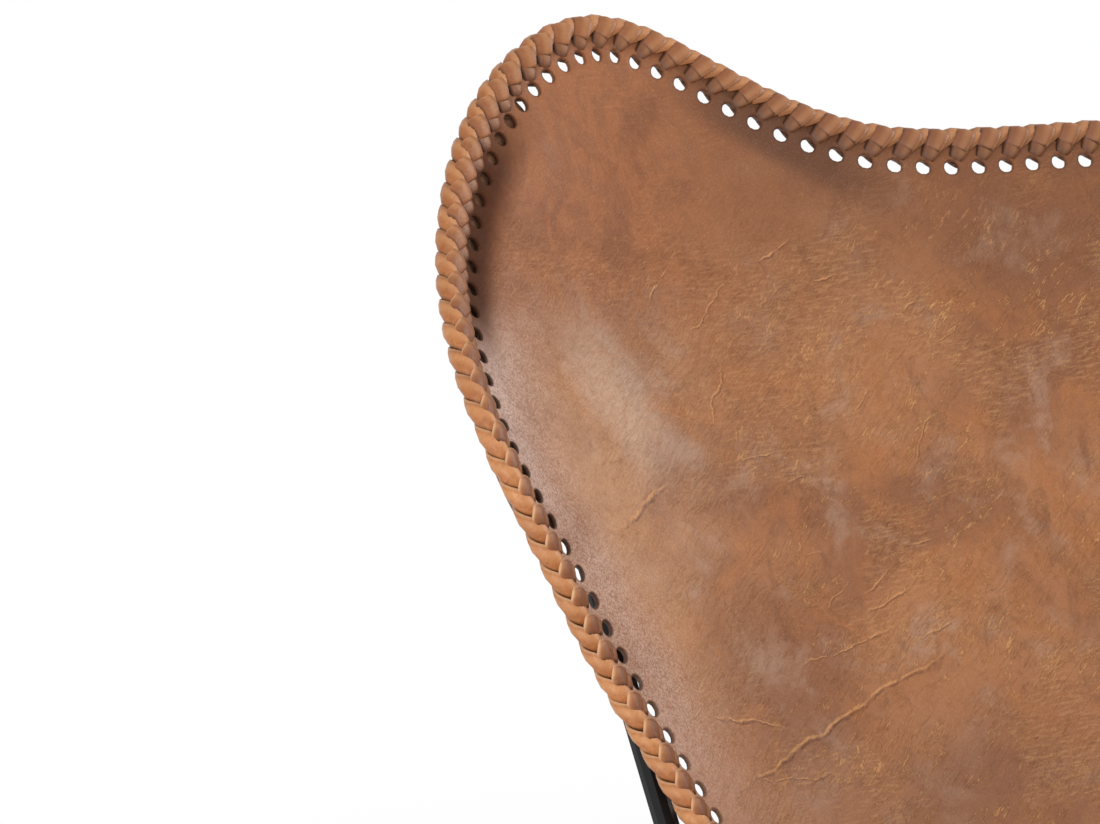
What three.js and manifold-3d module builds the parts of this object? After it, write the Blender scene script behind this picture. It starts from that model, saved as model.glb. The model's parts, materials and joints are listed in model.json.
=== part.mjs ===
// A butterfly sling chair: one laced leather hide hung by four pockets on the ears of a
// knock-down frame, which is two closed loops of round tube bolted together where they cross.
// Millimetres, +Z up. The chair faces -Y and stands on z = 0, with its origin at the middle of its floor area.
import * as THREE from "three";
import { mergeVertices } from "three/addons/utils/BufferGeometryUtils.js";
import Module from "manifold-3d";

const wasm = await Module();
wasm.setup();

// Hide as it hangs: the middle line runs along the seat, round the hip and up the back.
const FRONT_EDGE_Y = -361;
const FRONT_EDGE_Z = 380;
const SEAT_RUN = 215;
const SEAT_SLOPE = 12;
const HIP_RADIUS = 255;
const BACK_LEAN = 36;
// Sections across the hide: [distance along the hide, angle of the section at the reference half width].
const SECTION_ANGLES = [
  [-150, 62],
  [60, 62],
  [380, 95],
  [700, 50],
  [950, 32],
  [1200, 28],
];
const SECTION_HALF_WIDTH = 400;
const SECTION_POWER = 1.6;
const SECTION_STEPS = 16;
// The back wings curl forward a little more near their outer edges.
const WING_CURL = 6;
const WING_CURL_FROM = 290;
const WING_CURL_RUN = 120;
const WING_CURL_ALONG = 900;
const WING_CURL_SPREAD = 130;

// Cut of the hide, laid flat: control polygon of one half, [half width, distance along the hide].
const CUT_OUTLINE = [
  [0, 992],
  [116, 988],
  [212, 1049],
  [280, 1078],
  [361, 1010],
  [404, 920],
  [443, 790],
  [369, 699],
  [301, 556],
  [255, 420],
  [258, 290],
  [345, 170],
  [440, 90],
  [445, -30],
  [340, -105],
  [170, -25],
  [0, 0],
];
const HIDE_THICKNESS = 3.2;
const RIM_STATIONS = 104;
const HIDE_RINGS = [1, 0.84, 0.62, 0.32, 0];
// Ends of the middle line that the hide's rings close on.
const MIDDLE_BACK = 800;
const MIDDLE_FRONT = 170;

// Edge lacing: a plait that wraps the rim, wider on the seat side than behind.
const LACING_FRONT_WIDTH = 16;
const LACING_REAR_WIDTH = 18;
const LACING_BUILD = 3.5;
const LACING_OVERHANG = 4;
const LACING_ROUND = 2;
const LACING_LENGTHS = ["back", "left", "front", "right"];
// Where one length ends and the next begins, along the half rim from the back's middle.
const LACING_BACK_SPLICE = 330;
const LACING_FRONT_SPLICE = 1500;

// Pockets behind the wings, along the half rim from the back's middle.
const POCKET_THICKNESS = 2;
const POCKET_MOUTH_EDGE = 6;
const POCKET_MOUTH_SAG = 80;
const POCKET_SLACK = 0.5;
// A pocket stands further behind the hide at its first end, where a leg of the ear leaves the hide steeply,
// than at its last end, where the other leg runs along the hide. Its slope is set by its rise, a share of its stand.
const POCKETS = {
  back: { from: 385, to: 690, firstStand: 64, lastStand: 26, rise: 1.2 },
  front: { from: 1370, to: 1680, firstStand: 78, lastStand: 24, rise: 0.9 },
};
const POCKET_TAPER_FROM = 0.3;
const POCKET_TAPER_TO = 0.7;
const POCKET_ROWS = 6;

// Frame tube
const TUBE_RADIUS = 7;
const TUBE_WALL = 1.5;
const TUBE_SIDES = 10;
const EAR_BEND = 45;
const FOOT_BEND = 40;
const BEND_STATIONS = 9;
// Place of each ear's crown on the hide, [half width, distance along the hide].
const BACK_EAR_AT = [330, 915];
const FRONT_EAR_AT = [362, -20];
const FOOT_HALF_WIDTH = 211;
const FRONT_FOOT_Y = -299;
const BACK_FOOT_Y = 288;
const JOINT_BELOW_CROSSING = 80;
const JOINT_GAP = 0.4;

// Hardware
const CLEARANCE = 0.3;
const PLUG_LENGTH = 70;
const SCREW_RADIUS = 2.5;
const SCREW_HEAD_RADIUS = 4.5;
const SCREW_HEAD_HEIGHT = 2.5;
const SCREW_FROM_JOINT = 18;
const BOLT_RADIUS = 3;
const BOLT_HEAD_RADIUS = 5.5;
const BOLT_HEAD_HEIGHT = 3.5;
const HEAD_FLANK_SHARE = 0.4;
const HEAD_CROWN_SHARE = 0.6;
const NUT_HEIGHT = 8;
const NUT_DOME = 2.5;
const SPACER_LENGTH = 5;
const SPACER_RADIUS = 7;
const GLIDE_RADIUS = 13;
const GLIDE_UNDER = 4;
const ROUND_SIDES = 12;

const UP = new THREE.Vector3(0, 1, 0);
const vec = (x, y, z) => new THREE.Vector3(x, y, z);
const rad = THREE.MathUtils.degToRad;
const along = (from, direction, distance) => from.clone().addScaledVector(direction, distance);
const between = (a, b, share) => a.clone().lerp(b, share);
const heading = (from, to) => to.clone().sub(from).normalize();

// Materials
const leather = new THREE.MeshStandardMaterial({ color: 0x9a6440, roughness: 0.55, metalness: 0 });
const lacingLeather = new THREE.MeshStandardMaterial({ color: 0xb5784a, roughness: 0.5, metalness: 0 });
const pocketLeather = new THREE.MeshStandardMaterial({ color: 0x7d5236, roughness: 0.7, metalness: 0 });
const blackCoat = new THREE.MeshStandardMaterial({ color: 0x17181a, roughness: 0.45, metalness: 0.2 });
const blackSteel = new THREE.MeshStandardMaterial({ color: 0x202124, roughness: 0.35, metalness: 0.8 });
const plainSteel = new THREE.MeshStandardMaterial({ color: 0x9a9b9d, roughness: 0.4, metalness: 0.9 });
const blackPlastic = new THREE.MeshStandardMaterial({ color: 0x1c1c1c, roughness: 0.7, metalness: 0 });

const chair = new THREE.Group();
chair.name = "butterfly_sling_chair";

function addPiece(name, geometry, material) {
  const mesh = new THREE.Mesh(geometry, material.clone());
  mesh.name = name;
  chair.add(mesh);
  return mesh;
}

// Hung shape of the hide

// Point and slope of the middle line at a distance along the hide.
function middleLine(distance) {
  const slope = rad(SEAT_SLOPE);
  const turn = rad(90 - BACK_LEAN) + slope;
  const seat = Math.min(distance, SEAT_RUN);
  const bend = THREE.MathUtils.clamp(distance - SEAT_RUN, 0, HIP_RADIUS * turn) / HIP_RADIUS;
  const back = Math.max(distance - SEAT_RUN - HIP_RADIUS * turn, 0);
  const tilt = bend - slope;
  const y = seat * Math.cos(slope) + HIP_RADIUS * (Math.sin(tilt) + Math.sin(slope)) + back * Math.cos(tilt);
  const z = -seat * Math.sin(slope) + HIP_RADIUS * (Math.cos(slope) - Math.cos(tilt)) + back * Math.sin(tilt);
  return { y: FRONT_EDGE_Y + y, z: FRONT_EDGE_Z + z, tilt };
}

function sectionAngle(distance) {
  let angle = SECTION_ANGLES[0][1];
  for (let i = 1; i < SECTION_ANGLES.length; i++) {
    const [from, before] = SECTION_ANGLES[i - 1];
    const [to, after] = SECTION_ANGLES[i];
    angle += (after - before) * THREE.MathUtils.smoothstep(distance, from, to);
  }
  return rad(angle);
}

// A point of the flat hide, carried to where it hangs.
function hung(across, distance) {
  const { y, z, tilt } = middleLine(distance);
  const edgeAngle = sectionAngle(distance);
  const curlHere = rad(WING_CURL) * Math.exp(-(((distance - WING_CURL_ALONG) / WING_CURL_SPREAD) ** 2));
  const step = Math.abs(across) / SECTION_STEPS;
  let x = 0;
  let lift = 0;
  for (let i = 0; i < SECTION_STEPS; i++) {
    const out = (i + 0.5) * step;
    const curl = curlHere * THREE.MathUtils.smoothstep(out, WING_CURL_FROM, WING_CURL_FROM + WING_CURL_RUN);
    const angle = edgeAngle * (out / SECTION_HALF_WIDTH) ** SECTION_POWER + curl;
    x += Math.cos(angle) * step;
    lift += Math.sin(angle) * step;
  }
  return vec(Math.sign(across) * x, y - lift * Math.sin(tilt), z + lift * Math.cos(tilt));
}

const PROBE = 0.5;

function hungFrame(across, distance) {
  const alongHide = hung(across, distance + PROBE).sub(hung(across, distance - PROBE));
  const acrossHide = hung(across + PROBE, distance).sub(hung(across - PROBE, distance));
  alongHide.divideScalar(2 * PROBE);
  acrossHide.divideScalar(2 * PROBE);
  const normal = acrossHide.clone().cross(alongHide).normalize();
  return { alongHide, acrossHide, normal };
}

// A point at a height above the hide's middle surface, on the seat side.
function onHide(flat, height) {
  const { normal } = hungFrame(flat.x, flat.y);
  return along(hung(flat.x, flat.y), normal, height);
}

// Cut outline

// Point of the closed outline at a share of the way round, by a uniform cubic spline of its control polygon.
function outlinePoint(share) {
  const left = CUT_OUTLINE.map(([a, b]) => new THREE.Vector2(-a, b));
  const right = CUT_OUTLINE.slice(1, -1)
    .map(([a, b]) => new THREE.Vector2(a, b))
    .reverse();
  const polygon = [...left, ...right];
  const place = share * polygon.length;
  const first = Math.floor(place);
  const f = place - first;
  const weights = [(1 - f) ** 3, 3 * f ** 3 - 6 * f ** 2 + 4, -3 * f ** 3 + 3 * f ** 2 + 3 * f + 1, f ** 3];
  const point = new THREE.Vector2();
  weights.forEach((weight, k) => {
    const corner = polygon[(first + k - 1 + polygon.length) % polygon.length];
    point.addScaledVector(corner, weight / 6);
  });
  return point;
}

// Stations evenly spaced round the rim from the back's middle, down the left side first.
const rim = [];
const FINE_STEPS = 1200;
const finePoints = Array.from({ length: FINE_STEPS + 1 }, (_, i) => outlinePoint((i / FINE_STEPS) * 0.5));
const fineLengths = [0];
for (let i = 1; i <= FINE_STEPS; i++) {
  fineLengths.push(fineLengths[i - 1] + finePoints[i].distanceTo(finePoints[i - 1]));
}
const HALF_RIM = fineLengths[FINE_STEPS];
const HALF_STATIONS = RIM_STATIONS / 2;
for (let i = 0; i <= HALF_STATIONS; i++) {
  const target = (HALF_RIM * i) / HALF_STATIONS;
  const k = fineLengths.findIndex((length) => length >= target - 1e-6);
  const before = finePoints[Math.max(k - 1, 0)];
  const after = finePoints[Math.min(k + 1, FINE_STEPS)];
  const tangent = after.clone().sub(before).normalize();
  const inward = new THREE.Vector2(-tangent.y, tangent.x);
  const share = THREE.MathUtils.smoothstep(target, 0, HALF_RIM);
  const anchor = new THREE.Vector2(0, THREE.MathUtils.lerp(MIDDLE_BACK, MIDDLE_FRONT, share));
  rim.push({ flat: finePoints[k].clone(), inward, anchor });
}
for (let i = HALF_STATIONS - 1; i > 0; i--) {
  const { flat, inward, anchor } = rim[i];
  rim.push({
    flat: new THREE.Vector2(-flat.x, flat.y),
    inward: new THREE.Vector2(-inward.x, inward.y),
    anchor: anchor.clone(),
  });
}

const rimStation = (i) => rim[(i + RIM_STATIONS) % RIM_STATIONS];
const insideRim = (i, width) => rimStation(i).flat.clone().addScaledVector(rimStation(i).inward, width);
const stationAt = (length) => Math.round((length / HALF_RIM) * HALF_STATIONS);

// Solids from surfaces

function closedGeometry(points, faces) {
  const geometry = new THREE.BufferGeometry().setFromPoints(points);
  geometry.setIndex(faces);
  geometry.computeVertexNormals();
  return geometry;
}

// Two matching grids of points, [row][column], closed into one solid. A wrapped sheet's rows run right round,
// and its last row closes on itself.
function sheetSolid(front, rear, wrapped) {
  const rows = front.length;
  const columns = front[0].length;
  const points = [...front.flat(), ...rear.flat()];
  const at = (side, row, column) => side * rows * columns + row * columns + (column % columns);
  const faces = [];
  const quad = (a, b, c, d) => faces.push(a, b, c, a, c, d);
  const lastColumn = wrapped ? columns : columns - 1;
  for (let r = 0; r < rows - 1; r++) {
    for (let c = 0; c < lastColumn; c++) {
      quad(at(0, r, c), at(0, r, c + 1), at(0, r + 1, c + 1), at(0, r + 1, c));
      quad(at(1, r, c), at(1, r + 1, c), at(1, r + 1, c + 1), at(1, r, c + 1));
    }
  }
  for (let c = 0; c < lastColumn; c++) {
    quad(at(0, 0, c), at(1, 0, c), at(1, 0, c + 1), at(0, 0, c + 1));
    if (!wrapped) quad(at(0, rows - 1, c), at(0, rows - 1, c + 1), at(1, rows - 1, c + 1), at(1, rows - 1, c));
  }
  for (let r = 0; r < rows - 1 && !wrapped; r++) {
    quad(at(0, r, 0), at(0, r + 1, 0), at(1, r + 1, 0), at(1, r, 0));
    const end = columns - 1;
    quad(at(0, r, end), at(1, r, end), at(1, r + 1, end), at(0, r + 1, end));
  }
  return closedGeometry(points, faces);
}

// Sections of equal count joined one to the next, with both ends closed by the same flat pattern.
function loftSolid(sections, pattern) {
  const count = pattern.length;
  const faces = [];
  for (let s = 0; s < sections.length - 1; s++) {
    for (let k = 0; k < count; k++) {
      const a = s * count + k;
      const b = s * count + ((k + 1) % count);
      faces.push(a, b, b + count, a, b + count, a + count);
    }
  }
  const end = (sections.length - 1) * count;
  for (const [a, b, c] of THREE.ShapeUtils.triangulateShape(pattern, [])) {
    faces.push(a, c, b);
    faces.push(end + a, end + b, end + c);
  }
  return closedGeometry(sections.flat(), faces);
}

function toSolid(geometry) {
  const bare = geometry.clone();
  bare.deleteAttribute("normal");
  bare.deleteAttribute("uv");
  const merged = mergeVertices(bare, 1e-3);
  const triVerts = new Uint32Array(merged.index.array);
  return new wasm.Manifold(
    new wasm.Mesh({ numProp: 3, vertProperties: merged.attributes.position.array, triVerts }),
  );
}

function cutBy(geometry, tools) {
  let solid = toSolid(geometry);
  for (const tool of tools) solid = solid.subtract(toSolid(tool));
  const mesh = solid.getMesh();
  const cut = new THREE.BufferGeometry();
  cut.setAttribute("position", new THREE.BufferAttribute(mesh.vertProperties, 3));
  cut.setIndex(new THREE.BufferAttribute(mesh.triVerts, 1));
  cut.computeVertexNormals();
  return cut;
}

// Hide, lacing and pockets

const HALF_HIDE = HIDE_THICKNESS / 2;
const LACING_TOP = HALF_HIDE + CLEARANCE;
const POCKET_FACE = HALF_HIDE + CLEARANCE + POCKET_SLACK;
const LACING_BOTTOM = -(POCKET_FACE + POCKET_THICKNESS + POCKET_SLACK + CLEARANCE);

function hideSurface(height) {
  const rows = [rim.map((_, i) => onHide(insideRim(i, 0), height))];
  const lip = LACING_FRONT_WIDTH + LACING_ROUND;
  for (const share of HIDE_RINGS) {
    rows.push(rim.map((station, i) => onHide(insideRim(i, lip).lerp(station.anchor, 1 - share), height)));
  }
  return rows;
}

const hideGeometry = sheetSolid(hideSurface(HALF_HIDE), hideSurface(-HALF_HIDE), true);
const hidePanel = addPiece("hide_panel", hideGeometry, leather);

// Lacing section, [distance inside the rim, height above the hide's middle surface].
const top = LACING_TOP + LACING_BUILD;
const bottom = LACING_BOTTOM - LACING_BUILD;
const LACING_SECTION = [
  [LACING_FRONT_WIDTH, top],
  [LACING_ROUND - LACING_OVERHANG, top],
  [-LACING_OVERHANG, top - LACING_ROUND],
  [-LACING_OVERHANG, bottom + LACING_ROUND],
  [LACING_ROUND - LACING_OVERHANG, bottom],
  [LACING_REAR_WIDTH, bottom],
  [LACING_REAR_WIDTH, LACING_BOTTOM],
  [-CLEARANCE, LACING_BOTTOM],
  [-CLEARANCE, LACING_TOP],
  [LACING_FRONT_WIDTH, LACING_TOP],
];
const lacingPattern = LACING_SECTION.map(([width, height]) => new THREE.Vector2(width, height));
const lacingSection = (i) => LACING_SECTION.map(([width, height]) => onHide(insideRim(i, width), height));

// One length of lacing, drawn back a little from its neighbours at both ends.
function lacingLength(from, to) {
  const sections = [];
  for (let i = from; i <= to; i++) sections.push(lacingSection(i));
  const pullBack = (end, next) => {
    const share = CLEARANCE / end[0].distanceTo(next[0]);
    return end.map((point, k) => between(point, next[k], share));
  };
  const last = sections.length - 1;
  const first = pullBack(sections[0], sections[1]);
  sections[last] = pullBack(sections[last], sections[last - 1]);
  sections[0] = first;
  return loftSolid(sections, lacingPattern);
}

const splices = [
  -stationAt(LACING_BACK_SPLICE),
  stationAt(LACING_BACK_SPLICE),
  stationAt(LACING_FRONT_SPLICE),
  RIM_STATIONS - stationAt(LACING_FRONT_SPLICE),
  RIM_STATIONS - stationAt(LACING_BACK_SPLICE),
];
LACING_LENGTHS.forEach((name, k) => {
  addPiece(`edge_lacing_${name}`, lacingLength(splices[k], splices[k + 1]), lacingLeather);
});

// A pocket runs from the rim to its mouth, and stands away from the hide once it is clear of the lacing.
function pocket({ from: start, to: end, firstStand, lastStand, rise }, hand) {
  const from = stationAt(start);
  const to = stationAt(end);
  const lip = LACING_REAR_WIDTH + POCKET_SLACK;
  const first = insideRim(from, lip + POCKET_MOUTH_EDGE);
  const last = insideRim(to, lip + POCKET_MOUTH_EDGE);
  const chord = last.clone().sub(first).normalize();
  const inward = new THREE.Vector2(-chord.y, chord.x);
  const place = (i, row) => {
    if (row === 0) return { flat: insideRim(i, 0), stand: 0 };
    const u = (i - from) / (to - from);
    const mouth = first.clone().lerp(last, u);
    mouth.addScaledVector(inward, POCKET_MOUTH_SAG * 4 * u * (1 - u));
    const flat = insideRim(i, lip);
    const width = (mouth.distanceTo(flat) * (row - 1)) / (POCKET_ROWS - 1);
    flat.lerp(mouth, (row - 1) / (POCKET_ROWS - 1));
    const taper = THREE.MathUtils.smoothstep(u, POCKET_TAPER_FROM, POCKET_TAPER_TO);
    const full = THREE.MathUtils.lerp(firstStand, lastStand, taper);
    return { flat, stand: full * THREE.MathUtils.smoothstep(width, 0, rise * full) };
  };
  const rowsAt = (depth) => {
    const rows = [];
    for (let row = 0; row <= POCKET_ROWS; row++) {
      const points = [];
      for (let i = from; i <= to; i++) {
        const { flat, stand } = place(i, row);
        points.push(onHide(new THREE.Vector2(hand * flat.x, flat.y), -(depth + stand)));
      }
      rows.push(points);
    }
    return rows;
  };
  const near = rowsAt(POCKET_FACE);
  const far = rowsAt(POCKET_FACE + POCKET_THICKNESS);
  return hand > 0 ? sheetSolid(near, far, false) : sheetSolid(far, near, false);
}

for (const [depth, sizes] of Object.entries(POCKETS)) {
  addPiece(`pocket_${depth}_left`, pocket(sizes, 1), pocketLeather);
  addPiece(`pocket_${depth}_right`, pocket(sizes, -1), pocketLeather);
}

// Frame

// Round bend between two straight legs that would meet at a corner.
function bend(corner, first, second, radius) {
  const toFirst = heading(corner, first);
  const toSecond = heading(corner, second);
  const half = toFirst.angleTo(toSecond) / 2;
  const middle = toFirst.clone().add(toSecond).normalize();
  const centre = along(corner, middle, radius / Math.sin(half));
  const start = along(corner, toFirst, radius / Math.tan(half));
  const end = along(corner, toSecond, radius / Math.tan(half));
  const crown = along(centre, middle, -radius);
  const spoke = heading(centre, start);
  const turn = along(middle.clone().negate(), spoke, middle.dot(spoke)).normalize();
  const sweep = Math.PI - 2 * half;
  const points = [];
  for (let i = 0; i < BEND_STATIONS; i++) {
    const angle = (sweep * i) / (BEND_STATIONS - 1);
    points.push(along(along(centre, spoke, radius * Math.cos(angle)), turn, radius * Math.sin(angle)));
  }
  return { start, end, centre, crown, spoke, turn, points };
}

// Path through given stations, with a ring at each of them.
class StationPath extends THREE.Curve {
  constructor(stations) {
    super();
    this.stations = stations;
  }
  getPoint(t, target = new THREE.Vector3()) {
    const place = t * (this.stations.length - 1);
    const first = Math.min(Math.floor(place), this.stations.length - 2);
    return target.lerpVectors(this.stations[first], this.stations[first + 1], place - first);
  }
  getUtoTmapping(u) {
    return u;
  }
}

function circlePoints(radius, sides) {
  return Array.from({ length: sides }, (_, i) => {
    const angle = (2 * Math.PI * i) / sides;
    return new THREE.Vector2(radius * Math.cos(angle), radius * Math.sin(angle));
  });
}

function sweptTube(stations, radius, bore) {
  const shape = new THREE.Shape(circlePoints(radius, TUBE_SIDES));
  if (bore > 0) shape.holes.push(new THREE.Path(circlePoints(bore, TUBE_SIDES)));
  const options = { steps: stations.length - 1, extrudePath: new StationPath(stations) };
  return new THREE.ExtrudeGeometry(shape, options);
}

const HANDS = { left: -1, right: 1 };
const opposite = { left: "right", right: "left", back: "front", front: "back" };
const spots = ["back_left", "back_right", "front_left", "front_right"];
const ears = {};
const feet = {};
// Feet of one loop stand a little further out than those of the other, so that the loops pass by each other.
const outerFeet = ["front_left", "back_right"];
const stagger = { front: SPACER_LENGTH, back: SPACER_LENGTH };
const earDepth = Object.fromEntries(spots.map((spot) => [spot, TUBE_RADIUS]));
const legSpacing = 2 * TUBE_RADIUS + SPACER_LENGTH + 2 * CLEARANCE;

const legEnds = (spot) => {
  const [depth, hand] = spot.split("_");
  return [`${opposite[depth]}_${hand}`, `${depth}_${opposite[hand]}`];
};

for (const spot of spots) {
  const [depth, hand] = spot.split("_");
  const [across, distance] = depth === "back" ? BACK_EAR_AT : FRONT_EAR_AT;
  ears[spot] = { flat: new THREE.Vector2(HANDS[hand] * across, distance) };
  ears[spot].corner = hung(ears[spot].flat.x, distance);
  feet[spot] = { corner: vec(HANDS[hand] * FOOT_HALF_WIDTH, depth === "back" ? BACK_FOOT_Y : FRONT_FOOT_Y, 0) };
}

// Distance of a point behind the hide's middle surface.
function behindHide(point, start) {
  const flat = start.clone();
  for (let i = 0; i < 8; i++) {
    const { alongHide, acrossHide } = hungFrame(flat.x, flat.y);
    const miss = point.clone().sub(hung(flat.x, flat.y));
    flat.x += miss.dot(acrossHide) / acrossHide.lengthSq();
    flat.y += miss.dot(alongHide) / alongHide.lengthSq();
  }
  const { normal } = hungFrame(flat.x, flat.y);
  return hung(flat.x, flat.y).sub(point).dot(normal);
}

// Nearest points of two straight legs.
function nearestPoints(a, b, c, d) {
  const u = heading(a, b);
  const v = heading(c, d);
  const w = a.clone().sub(c);
  const slant = u.dot(v);
  const base = 1 - slant * slant;
  const s = (slant * v.dot(w) - u.dot(w)) / base;
  const t = (v.dot(w) - slant * u.dot(w)) / base;
  return [along(a, u, s), along(c, v, t)];
}

const CROSSINGS = {
  left: [["back_left", "front_left"], ["front_left", "back_left"]],
  right: [["front_right", "back_right"], ["back_right", "front_right"]],
  front: [["front_right", "front_left"], ["front_left", "front_right"]],
  back: [["back_left", "back_right"], ["back_right", "back_left"]],
};
const legLine = ([ear, foot]) => [ears[ear].corner, feet[foot].corner];
const crossingPoints = (name) => nearestPoints(...legLine(CROSSINGS[name][0]), ...legLine(CROSSINGS[name][1]));

// Ears, feet and the loops' spacing depend on each other, so they are settled together in a few passes.
const SETTLING_PASSES = 12;

function settleFrame(againstHide) {
  for (const spot of spots) {
    const [depth] = spot.split("_");
    const [near, far] = legEnds(spot);
    const footY = depth === "back" ? BACK_FOOT_Y : FRONT_FOOT_Y;
    const outward = depth === "back" ? 1 : -1;
    feet[spot].corner.y = footY + outward * stagger[depth] * (outerFeet.includes(spot) ? 1 : -1);
    const ear = ears[spot];
    ear.bend = bend(ear.corner, feet[near].corner, feet[far].corner, EAR_BEND);
    ear.corner.add(onHide(ear.flat, -earDepth[spot]).sub(ear.bend.crown));
    ear.bend = bend(ear.corner, feet[near].corner, feet[far].corner, EAR_BEND);
    if (againstHide) {
      const closest = Math.min(...ear.bend.points.map((point) => behindHide(point, ear.flat)));
      earDepth[spot] += HALF_HIDE + CLEARANCE + TUBE_RADIUS - closest;
    }
    const foot = feet[spot];
    foot.bend = bend(foot.corner, ears[near].corner, ears[far].corner, FOOT_BEND);
    const { centre, spoke, turn } = foot.bend;
    const lowest = centre.z - FOOT_BEND * Math.hypot(spoke.z, turn.z);
    foot.corner.z += GLIDE_UNDER + TUBE_RADIUS - lowest;
  }
  for (const name of ["front", "back"]) {
    const [a, b] = crossingPoints(name);
    stagger[name] *= legSpacing / a.distanceTo(b);
  }
}

for (let pass = 0; pass < SETTLING_PASSES; pass++) settleFrame(true);

// The ears then come up to the hide's own faceted solid, always from behind it.
const hideSolid = toSolid(hidePanel.geometry);
const SEATING_ROUNDS = 4;
for (let round = 0; round < SEATING_ROUNDS; round++) {
  for (const spot of spots) {
    const [near, far] = legEnds(spot);
    const path = [feet[near].corner, ...ears[spot].bend.points, feet[far].corner];
    const gap = hideSolid.minGap(toSolid(sweptTube(path, TUBE_RADIUS, 0)), TUBE_RADIUS);
    earDepth[spot] -= gap - CLEARANCE;
  }
  for (let pass = 0; pass < SETTLING_PASSES; pass++) settleFrame(false);
}

// A round rod between two points.
function rod(from, to, radius) {
  const geometry = new THREE.CylinderGeometry(radius, radius, from.distanceTo(to), ROUND_SIDES);
  geometry.applyQuaternion(new THREE.Quaternion().setFromUnitVectors(UP, heading(from, to)));
  const middle = between(from, to, 0.5);
  geometry.translate(middle.x, middle.y, middle.z);
  return geometry;
}

// Turned piece about +Y, then laid along a direction at a point.
function addTurned(name, profile, material, point, direction) {
  const points = profile.map(([radius, height]) => new THREE.Vector2(radius, height));
  const mesh = addPiece(name, new THREE.LatheGeometry(points, ROUND_SIDES), material);
  mesh.quaternion.setFromUnitVectors(UP, direction);
  mesh.position.copy(point);
}

const headProfile = (shank, length, radius, height) => [
  [0, -length],
  [shank, -length],
  [shank, 0],
  [radius, 0],
  [radius, height * HEAD_FLANK_SHARE],
  [radius * HEAD_CROWN_SHARE, height],
  [0, height],
];

const BORE = TUBE_RADIUS - TUBE_WALL;
const holes = Object.fromEntries(spots.map((spot) => [spot, []]));

// Bolts, spacers and nuts where the loops cross.
for (const [name, legs] of Object.entries(CROSSINGS)) {
  const [a, b] = crossingPoints(name);
  const axis = heading(a, b);
  const seat = TUBE_RADIUS + CLEARANCE;
  const grip = a.distanceTo(b) + 2 * seat;
  const holeEnds = [along(a, axis, -2 * TUBE_RADIUS), along(b, axis, 2 * TUBE_RADIUS)];
  const boltHole = rod(...holeEnds, BOLT_RADIUS + CLEARANCE);
  for (const [ear] of legs) holes[ear].push(boltHole);
  const head = along(a, axis, -seat);
  const reach = grip + NUT_HEIGHT - NUT_DOME - CLEARANCE;
  const boltProfile = headProfile(BOLT_RADIUS, reach, BOLT_HEAD_RADIUS, BOLT_HEAD_HEIGHT);
  addTurned(`crossing_bolt_${name}`, boltProfile, blackSteel, head, axis.clone().negate());
  const spacerLength = a.distanceTo(b) - 2 * seat;
  const spacerProfile = [
    [BOLT_RADIUS + CLEARANCE, 0],
    [SPACER_RADIUS, 0],
    [SPACER_RADIUS, spacerLength],
    [BOLT_RADIUS + CLEARANCE, spacerLength],
    [BOLT_RADIUS + CLEARANCE, 0],
  ];
  addTurned(`crossing_spacer_${name}`, spacerProfile, blackPlastic, along(a, axis, seat), axis);
  const bore = BOLT_RADIUS + CLEARANCE;
  const nutProfile = [
    [bore, 0],
    [BOLT_HEAD_RADIUS, 0],
    [BOLT_HEAD_RADIUS, NUT_HEIGHT - NUT_DOME],
    [BOLT_HEAD_RADIUS * HEAD_CROWN_SHARE, NUT_HEIGHT],
    [0, NUT_HEIGHT],
    [0, NUT_HEIGHT - NUT_DOME],
    [bore, NUT_HEIGHT - NUT_DOME],
    [bore, 0],
  ];
  addTurned(`crossing_nut_${name}`, nutProfile, blackSteel, along(b, axis, seat), axis);
}

// Joints, below the crossings: a plug inside both tubes, with a screw through the ear tube's wall into it.
function jointPoint(ear, foot) {
  const isLeg = (leg) => leg[0] === ear && leg[1] === foot;
  const [name, legs] = Object.entries(CROSSINGS).find(([, pair]) => pair.some(isLeg));
  const crossing = crossingPoints(name)[legs.findIndex(isLeg)];
  return along(crossing, heading(ears[ear].corner, feet[foot].corner), JOINT_BELOW_CROSSING);
}

const plugRadius = BORE - CLEARANCE;

for (const spot of spots) {
  legEnds(spot).forEach((foot, k) => {
    const name = `${spot}_${k === 0 ? "side" : "cross"}`;
    const upward = heading(feet[foot].corner, ears[spot].corner);
    const joint = jointPoint(spot, foot);
    const outward = vec(joint.x, joint.y, 0);
    outward.addScaledVector(upward, -outward.dot(upward)).normalize();
    const screwAt = along(joint, upward, SCREW_FROM_JOINT);
    const screwSeat = along(screwAt, outward, TUBE_RADIUS + CLEARANCE);
    const screwHole = rod(screwAt, along(screwSeat, outward, TUBE_RADIUS), SCREW_RADIUS + CLEARANCE);
    holes[spot].push(screwHole);
    const plugEnds = [-PLUG_LENGTH / 2, PLUG_LENGTH / 2].map((offset) => along(joint, upward, offset));
    addPiece(`joint_plug_${name}`, cutBy(rod(...plugEnds, plugRadius), [screwHole]), plainSteel);
    const screwLength = TUBE_RADIUS;
    const profile = headProfile(SCREW_RADIUS, screwLength, SCREW_HEAD_RADIUS, SCREW_HEAD_HEIGHT);
    addTurned(`joint_screw_${name}`, profile, blackSteel, screwSeat, outward);
  });
}

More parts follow.
